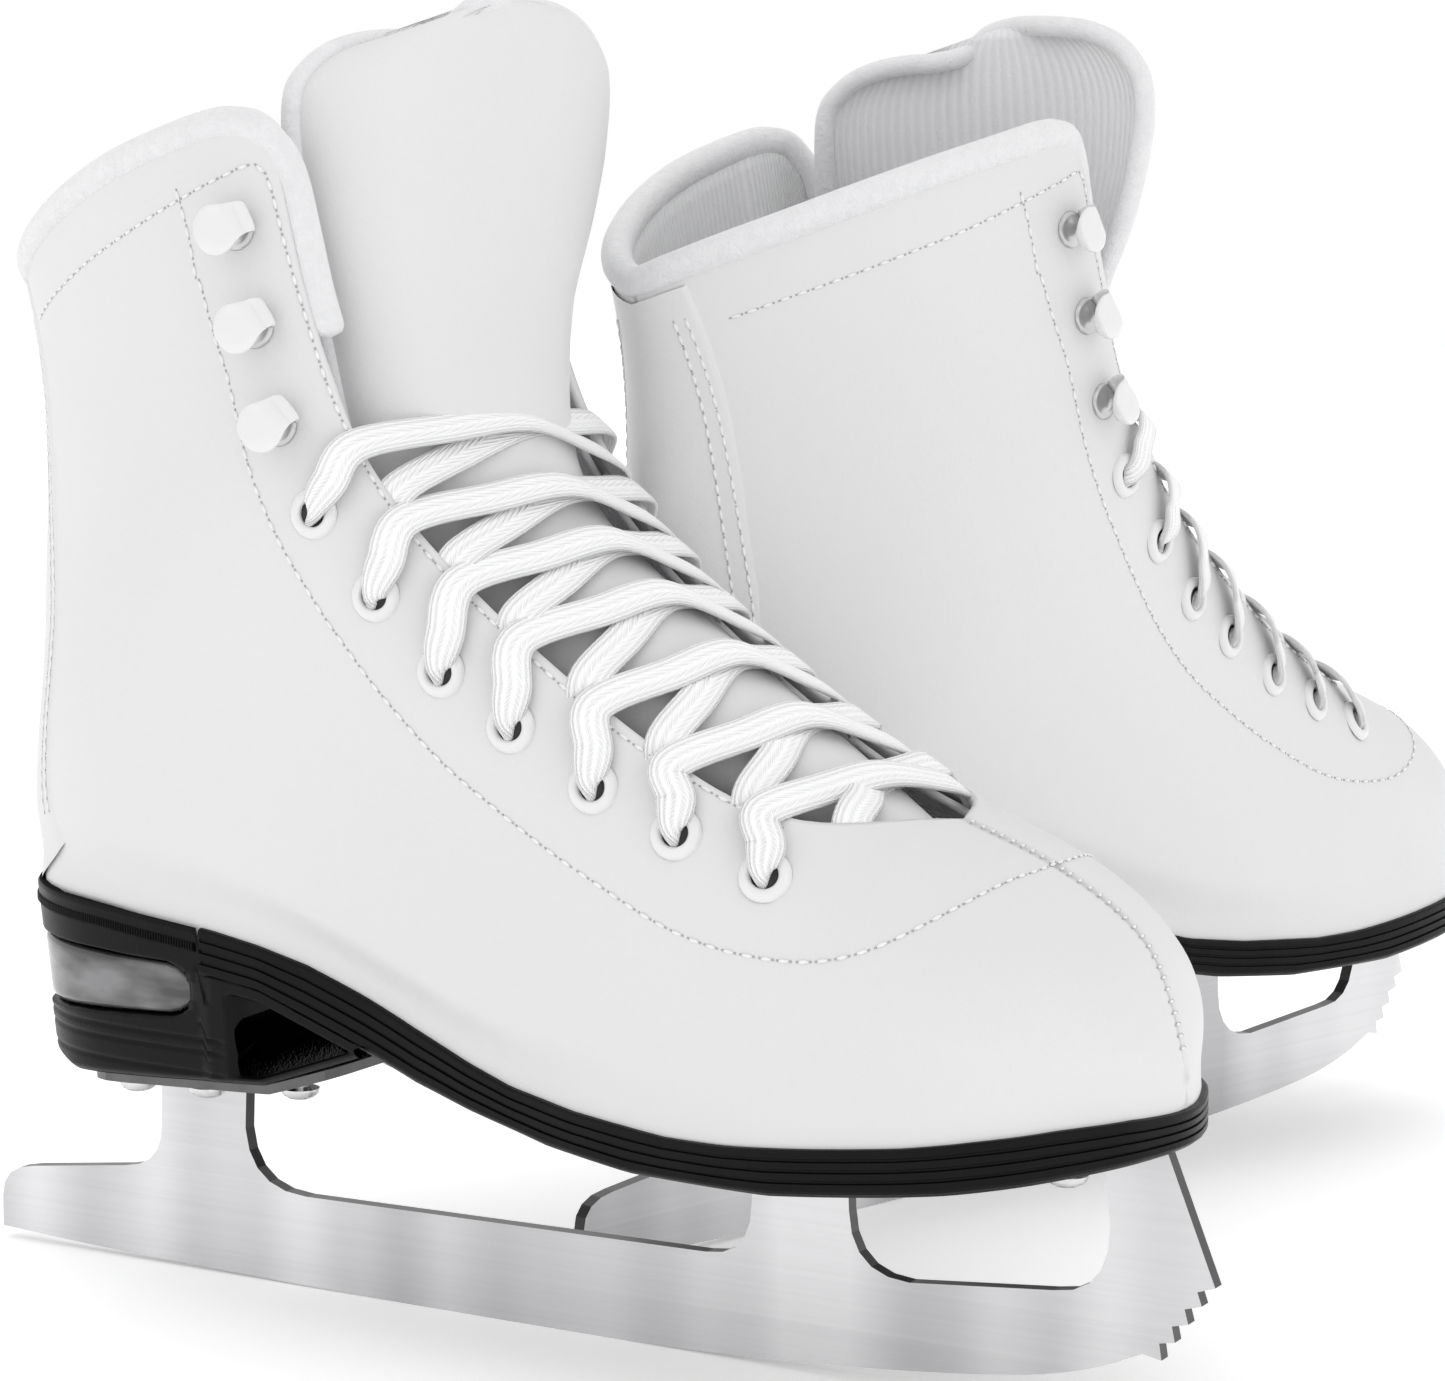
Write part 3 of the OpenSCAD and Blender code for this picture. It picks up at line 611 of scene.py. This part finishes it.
def turned(target, profile, matrix, steps=36):
    """Lathe-turned shape: profile points (radius, height) in mm, spun round z."""
    bm = bmesh.new()
    ring = [bm.verts.new((r * MM, 0, z * MM)) for r, z in profile]
    edges = [bm.edges.new(ends) for ends in zip(ring, ring[1:])]
    bmesh.ops.spin(bm, geom=ring + edges, cent=(0, 0, 0), axis=(0, 0, 1), angle=2 * math.pi, steps=steps,
                   use_merge=True)
    bmesh.ops.remove_doubles(bm, verts=bm.verts, dist=1e-6)
    join(target, bm, matrix)


rings, shades = bmesh.new(), bmesh.new()
ring_profile = [(2.5, -1.2), (2.5, 0.5), (2.62, 0.85), (2.95, 1.12), (3.4, 1.2), (3.9, 1.05), (4.4, 0.68),
                (4.75, 0.25), (4.85, -0.1)]
for side in (-1, 1):
    for s, a in EYELETS:
        turned(rings, ring_profile, seat(s, a, side))
        turned(shades, [(0, 0.16), (1.3, 0.16), (2.55, 0.16)], seat(s, a, side), 24)
pair("eyelet_rings", rings, enamel, ("eyelets",), closed=True)
pair("eyelet_shades", shades, dark, closed=True)

# ---- Hooks -------------------------------------------------------------------------------------
# Three pairs of lacing hooks above the eyelets: a steel washer and rivet on the leather, and a
# white enamelled tab that rises at the facing's side and bends back over it with a round cap.
bare = Finish("hook_steel", roughness=0.3, metallic=0.9)
bare.colour(bare.blend(bare.noise(bare.place(), 300.0), grey(0.42), grey(0.62)))


# Middle line of the bent tab from its foot to the cap's end: along, up, half width
HOOK_PATH = [(3.6, 0.9, 2.6), (4.9, 2.4, 3.0), (4.6, 4.3, 3.2), (3.0, 5.6, 3.6), (0.6, 6.2, 4.7), (-1.4, 6.3, 4.75),
             (-3.0, 6.25, 4.0), (-4.3, 6.2, 2.6), (-5.0, 6.1, 0.3)]


def cap_point(u, v):
    """Closed bent tab: u goes from the foot, up and over to the cap, v round its section."""
    x, z, wide = through(HOOK_PATH, 8 * u)
    nx, nz, _ = through(HOOK_PATH, 8 * min(u + 0.015, 1))
    bx, bz, _ = through(HOOK_PATH, 8 * max(u - 0.015, 0))
    length = math.hypot(nx - bx, nz - bz)
    turn = 2 * math.pi * v
    c, s = math.cos(turn), math.sin(turn)
    thick = (0.75 + 0.65 * max(0, u - 0.5)) * (1 if u < 0.93 else max(0.25, (1 - u) / 0.07))
    across = wide * math.copysign(abs(c) ** 0.6, c)
    lift_ = thick * math.copysign(abs(s) ** 0.8, s)
    return Vector((x - (nz - bz) / length * lift_, across, z + (nx - bx) / length * -lift_)) * MM


WASHER = [(0, 1.5), (1.5, 1.45), (2.0, 0.9), (2.9, 0.75), (3.7, 0.5), (3.9, 0.1), (3.9, -0.1)]
tabs, washers = bmesh.new(), bmesh.new()
for side in (-1, 1):
    for s, a in HOOKS:
        tab = sheet(28, 24, cap_point)
        bmesh.ops.holes_fill(tab, edges=tab.edges, sides=40)
        join(tabs, tab, seat(s, a, side))
        turned(washers, WASHER, seat(s, a, side), 28)
pair("hook_tabs", tabs, enamel, ("hooks",), closed=True)
pair("hook_washers", washers, bare, closed=True)

# ---- Lace --------------------------------------------------------------------------------------
# One flat woven lace a boot, crossed from the toe up. Each run comes out of an eyelet, goes over
# the facing and the tongue, and dives under the other facing half a pitch lower.
LACE_WIDE = 7.3
LACE_THICK = 1.3
weave = Finish("woven_lace", roughness=0.85, Sheen_Weight=0.25)
woven = weave.node("ShaderNodeTexCoord", out=2)
along = weave.node("ShaderNodeSeparateXYZ", out=0, Vector=woven)
over = weave.node("ShaderNodeSeparateXYZ", out=1, Vector=woven)
picks = (along + over.maths("PINGPONG", over, 0.125) * 0.6).wave(0.02)
cords = over.wave(0.0625)
weave_height = picks * (0.6 + 0.4 * cords)
# The colour follows the weave's height: darker in its hollows as painted shade.
weave.colour(weave.blend(0.5 + 0.5 * weave_height, grey(0.86, 0.004), grey(0.93, 0.003)))
weave.bump(weave_height + 0.3 * weave.noise(weave.place(), 1800.0), 0.00012)


def strand_route(k, under):
    s, a = EYELETS[k]
    s_before = EYELETS[k - 1][0] if k else s - 0.4
    s_edge, s_far = s + 0.12, (s + s_before) / 2
    fx, fz = through(SECTIONS, (s_edge + s_far) / 2)[:2]
    peak = Vector((fx - under, 0, fz - under)) * MM
    edge = skin(s_edge, throat(s_edge) + 2, -1.7)
    far = skin(s_far, throat(s_far) - 5, 0.6, 1)
    rise = Vector((0.7, 0, 0.7)) * MM
    hidden = skin(s_far - 0.05, throat(s_far) + 5, 3.0, 1)
    return [skin(s, a + 1.2, 1.2), skin(s, a - 1.5, -1.9), skin(s + 0.03, a - 8, -2.1), edge,
            edge.lerp(peak, 0.5) + rise, peak, peak.lerp(far, 0.55) + rise, far, hidden]


def ribbon_point(route):
    last = len(route) - 1

    def spot(t):
        return Vector(through(route, last * t))

    def place(u, v):
        centre = spot(u)
        way = (spot(min(u + 0.01, 1)) - spot(max(u - 0.01, 0))).normalized()
        core = Vector((centre.x - 0.03, 0, centre.z - 0.04))
        flank = way.cross(centre - core).normalized()
        up = flank.cross(way).normalized()
        gather = min(1, max(0, (u * last - 0.3) / 1.7))
        wide = LACE_WIDE * (0.58 + 0.42 * gather * gather * (3 - 2 * gather)) / 2
        thick = LACE_THICK * (1.5 - 0.5 * gather) / 2
        turn = 2 * math.pi * v
        c, s = math.cos(turn), math.sin(turn)
        return (centre + flank * wide * MM * math.copysign(abs(c) ** 0.75, c)
                + up * thick * MM * math.copysign(abs(s) ** 0.6, s))
    return place


strands = bmesh.new()
for k in range(len(EYELETS)):
    for side, under in ((1, 1.0), (-1, 2.5)):
        strand = sheet(70, 16, ribbon_point(strand_route(k, under)))
        bmesh.ops.holes_fill(strand, edges=strand.edges, sides=40)
        join(strands, strand, Matrix.Diagonal((1, side, 1, 1)))
pair("lace_runs", strands, weave, ("lace",), closed=True)

# ---- Outsole -----------------------------------------------------------------------------------
# A black moulded sole wraps the foot of the upper with a low rim, and three fine grooves run
# round its edge.
UNDERSIDE = [(-132, 73), (-100, 71), (-60, 66), (-36, 57.5), (-23, 53), (-10, 49.8), (10, 46.2), (30, 44.6),
             (60, 45), (92, 48.2), (112, 50.6), (122, 52)]
HEEL_JOINT = -73.5
rubber = Finish("black_sole", roughness=0.4, Specular_IOR_Level=0.12)
rubber_spot = rubber.place()
rubber.colour(rubber.blend(rubber.noise(rubber_spot, 90.0), grey(0.002), grey(0.004)))
rubber.rough(0.26 + 0.2 * rubber.noise(rubber_spot, 160.0))
rubber.bump(rubber.noise(rubber_spot, 1500.0), 0.00005)


def outline(t, inset=0.0):
    """Point of the sole's outline, t from the heel along the outer side to the toe and back."""
    last = len(SOLE_PLAN) - 1
    half = 2 * t if t <= 0.5 else 2 - 2 * t
    x, y = plan(last * half)
    x1, y1 = plan(last * min(half + 0.004, 1))
    x0, y0 = plan(last * max(half - 0.004, 0))
    length = math.hypot(x1 - x0, y1 - y0) or 1
    nx, ny = -(y1 - y0) / length, (x1 - x0) / length
    side = -1 if t <= 0.5 else 1
    return x - nx * inset, side * max(y - ny * inset, 0)


# Section of the sole's edge: height as a share of the edge, and inset
EDGE_PROFILE = [(0, 24), (0, 3), (0.02, 1.2), (0.1, 0.3), (0.16, 0), (0.3, 0), (0.32, 0.5), (0.36, 0.5), (0.38, 0),
                (0.52, 0), (0.54, 0.5), (0.58, 0.5), (0.6, 0), (0.74, 0), (0.76, 0.45), (0.8, 0.45), (0.82, 0),
                (0.94, 0.05), (0.99, 0.5), (1, 1.2), (0.97, 3.5)]


def sole_point(u, v):
    last = len(EDGE_PROFILE) - 1
    height, inset = EDGE_PROFILE[round(v * last)]
    x, y = outline(u, inset)
    x, y = max(x, HEEL_JOINT - 0.8), 0 if inset > 20 else y
    low, high = between(UNDERSIDE, x), between(RIM, x)
    return Vector((x, y, low + (high - low) * height)) * MM


sole = sheet(360, len(EDGE_PROFILE) - 1, sole_point)
bmesh.ops.holes_fill(sole, edges=sole.edges, sides=0)
pair("moulded_sole", sole, rubber, ("outsole",), closed=True, smooth=False)

# ---- Heel --------------------------------------------------------------------------------------
# The hollow heel is moulded with a cup round the counter. It has a band of upright ribs, a clear
# insert let into its back, three fine lines below that and a sunk panel on each side.
def heel_floor(x):
    return between([(-132, 51), (-128, 48), (-122, 45.8), (-114, 44.2), (-61, 47.6), (-36, 56.5)], x)


def heel_top(x):
    return between(RIM, x) if x < HEEL_JOINT else between(UNDERSIDE, x) + 1


def window_span(x):
    """Bottom and top of the clear insert at x; it narrows forwards and its front end is round."""
    along = (x + 131) / 53.5
    low, high = 57 + 3 * along, 71.5 - 1.9 * along
    half = (high - low) / 2 * math.sqrt(max(0, 1 - max(0, (x + 83.5) / 6) ** 2))
    return (low + high) / 2 - half, (low + high) / 2 + half


def taper(x, z):
    return 0.1 * max(0, heel_top(x) - z)


def heel_inset(x, z):
    floor_z = heel_floor(x)
    low, high = window_span(x)
    lines = sum(0.5 * math.exp(-((z - h) / 0.35) ** 2) for h in (55.5, 53, 48.6)) if x < -70 else 0
    edge = 1.6 * max(0, 1 - (z - floor_z) / 1.6) ** 2
    window = 3.6 * ease(z, low - 0.7, low) * (1 - ease(z, high, high + 0.7)) * (1 - ease(x, -78.5, -77.5))
    panel_ = 2.6 * ease(x, -67.4, -66.4) * ease(z, floor_z + 1.2, floor_z + 2.2) * (
        1 - ease(z, heel_top(x) - 3.2, heel_top(x) - 2))
    joint = 0.5 * math.exp(-((x - HEEL_JOINT) / 0.4) ** 2) * ease(z, 62.5, 63.5)
    lip = 0.6 * max(0, 1 - (heel_top(x) - z) / 0.8) if x < HEEL_JOINT else 0
    return lines + edge + window + panel_ + joint + lip + taper(x, z) - (0.35 if x < HEEL_JOINT else 0)


HEEL_SPAN = 0.228


def heel_point(u, v):
    t = HEEL_SPAN * (2 * u - 1)
    x, y = outline(t % 1)
    x, y = (x, y) if x < -36 else (-36, y)
    z = heel_floor(x) + (heel_top(x) - heel_floor(x)) * v
    x2, y2 = outline(t % 1, heel_inset(x, z))
    return Vector((min(x2, -36), y2, z)) * MM


heel = sheet(300, 84, heel_point)
bmesh.ops.holes_fill(heel, edges=heel.edges, sides=0)
pair("heel_moulding", heel, rubber, ("heel_block",), closed=True)

smoke = Finish("smoky_insert", roughness=0.12, Coat_Weight=0.25, Coat_Roughness=0.05, Specular_IOR_Level=0.4)
haze = smoke.place(scale=(1, 1, 3.0))
smoke.colour(smoke.blend(smoke.noise(haze, 40.0, 3.0).above(0.42, 0.2), grey(0.05), grey(0.2, 0.006)))
smoke.bump(smoke.noise(haze, 60.0), 0.0004)


def window_point(u, v):
    t = 0.1615 * (2 * u - 1)
    low, high = window_span(outline(t % 1)[0])
    z = low + (high - low) * v
    rim = 1.0 * (1 - min(1, min(v, 1 - v) * 9)) ** 2 + 1.0 * (1 - min(1, min(u, 1 - u) * 26)) ** 2
    x, y = outline(t % 1, 0.2 + rim + taper(-100, z))
    return Vector((x, y, z)) * MM


pair("heel_clear_insert", sheet(120, 20, window_point), smoke, ("heel_window",), thickness=2.0)


# Way along the heel's edge from the middle of the back: distance in mm, and place on the outline
RIB_WALK = [(0.0, 0.0)]
for k in range(1, 61):
    t0, t1 = 0.1625 * (k - 1) / 60, 0.1625 * k / 60
    RIB_WALK.append((RIB_WALK[-1][0] + math.dist(outline(t0), outline(t1)), t1))
RIB_PITCH = 0.65
RIBS = round(2 * RIB_WALK[-1][0] / RIB_PITCH)


def rib_point(u, v):
    t = math.copysign(between(RIB_WALK, abs(2 * u - 1) * RIB_WALK[-1][0]), 2 * u - 1)
    shown = 0.3 if (u * RIBS + 0.125) % 1 < 0.5 else 0
    x, y = outline(t % 1, (0.5 if v in (0, 1) else -0.1) - shown)
    return Vector((x, y, between(RIM, x) - 5 + 2.5 * v)) * MM


pair("heel_rib_band", sheet(4 * RIBS, 4, rib_point), rubber, ("heel_band",), smooth=False)

# ---- Blade, plates and screws ------------------------------------------------------------------
# The blade is one cut steel plate welded to two sole plates. Its faces are brushed lengthways and its
# cut edges are painted near black as shade. The plates are held by domed screws; their steel is
# coloured near black as painted shade under the boots.
TOE_OUT = math.radians(73)


def blade_finish(name, turn):
    steel = Finish(name, roughness=0.3, metallic=0.85)
    spot = steel.place(scale=(6, 6, 900), turn=-turn)
    streak = steel.noise(spot, 1.0, 4.0)
    broad = steel.noise(steel.place(scale=(34, 34, 3), turn=-turn), 1.0, 1.0)
    facing = steel.node("ShaderNodeNewGeometry", out=1)
    across = steel.node("ShaderNodeVectorMath", {"operation": "DOT_PRODUCT"}, out=1)
    across.socket.node.inputs[1].default_value = (math.sin(turn), -math.cos(turn), 0)
    steel.feed(across.socket.node.inputs[0], facing)
    # Near 1 on the broad faces, near 0 on the cut edges, which are painted near black as shade.
    face_vs_edge_shade = across.maths("ABSOLUTE", across).above(0.5, 0.2)
    bright = steel.blend(0.35 * streak + 0.65 * broad.above(0.35, 0.3), grey(0.42, 0.012), grey(0.8, 0.01))
    steel.colour(steel.blend(face_vs_edge_shade, grey(0.07), bright))
    steel.rough(0.24 + 0.2 * streak)
    steel.bump(streak, 0.00003)
    return steel


def dress(node, finish):
    node_object = bpy.data.objects[node]
    node_object.data.materials.clear()
    node_object.data.materials.append(finish.material)


# The plates' steel is coloured near black as painted shade under the boots.
plated_shade = Finish("plated_shade_steel", roughness=0.34, metallic=0.9)
plate_spot = plated_shade.place()
plated_shade.colour(plated_shade.blend(plated_shade.noise(plate_spot, 260.0), grey(0.09), grey(0.16)))
plated_shade.bump(plated_shade.noise(plate_spot, 900.0), 0.00004)
domed = Finish("screw_steel", roughness=0.2, metallic=0.95)
domed.colour(domed.blend(domed.noise(domed.place(), 500.0), grey(0.5), grey(0.78)))
board = Finish("pressed_fibre", roughness=0.85)
board.colour(board.blend(board.noise(board.place(), 300.0), (0.42, 0.32, 0.2, 1), (0.6, 0.48, 0.33, 1)))
tip = Finish("clear_tip", roughness=0.15)
tip.colour(tip.blend(tip.noise(tip.place(), 200.0), grey(0.75), grey(0.88)))
blades = {"right": blade_finish("right_blade_steel", 0), "left": blade_finish("left_blade_steel", TOE_OUT)}
for foot in ("right", "left"):
    dress(f"{foot}_blade", blades[foot])
    for part, finish in (("front_plate", plated_shade), ("heel_plate", plated_shade), ("shank", plated_shade), ("front_screws", domed),
                         ("heel_screws", domed), ("insole_board", board), ("footbed", lining_fleece),
                         ("lace_tips", tip)):
        dress(f"{foot}_{part}", finish)

# ---- Floor -------------------------------------------------------------------------------------
# A plain pale floor that the blades stand on.
floor_paint = Finish("studio_floor", roughness=0.8, Emission_Color=grey(1), Emission_Strength=0.3)
floor_paint.colour(floor_paint.blend(floor_paint.noise(floor_paint.place(), 2.0), grey(0.93), grey(0.95)))
floor_mesh = bpy.data.meshes.new("studio_floor")
floor_bm = bmesh.new()
bmesh.ops.create_grid(floor_bm, x_segments=1, y_segments=1, size=6)
floor_bm.to_mesh(floor_mesh)
floor_bm.free()
floor_mesh.materials.append(floor_paint.material)
floor = bpy.data.objects.new("studio_floor", floor_mesh)
scene.collection.objects.link(floor)
